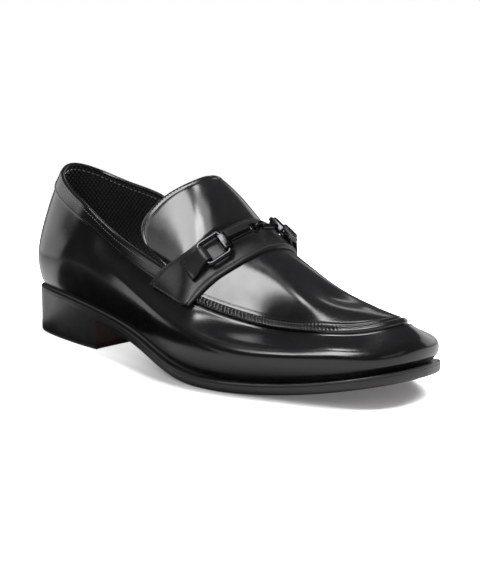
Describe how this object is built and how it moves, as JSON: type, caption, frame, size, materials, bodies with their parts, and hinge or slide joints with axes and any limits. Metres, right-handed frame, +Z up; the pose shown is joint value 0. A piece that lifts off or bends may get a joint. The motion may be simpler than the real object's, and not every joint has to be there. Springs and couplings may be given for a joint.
{
  "type": "dress loafer",
  "caption": "Right dress loafer of glossy black leather with an apron toe, rounded tongue, saddle strap with a linked metal bit, leather outsole and stacked heel.",
  "frame": {"origin": "middle of the heel's flat bottom", "axes": "+X towards the toe, +Y towards the inner side of the foot, +Z up; the shoe stands on z = 0"},
  "size_m": [0.2952, 0.1147, 0.1064],
  "materials": {
    "leather": "glossy",
    "lining": "matte",
    "sole": "satin",
    "heel": "satin",
    "metal": "polished, dark"
  },
  "bodies": {
    "root": {"upper": "leather", "tongue": "leather", "strap": "leather", "tab_outer": "leather", "tab_inner": "leather", "insole": "lining", "outsole": "sole", "heel": "heel", "ring_outer": "metal", "ring_inner": "metal", "bar_outer": "metal", "bar_inner": "metal"}
  },
  "joints": []
}
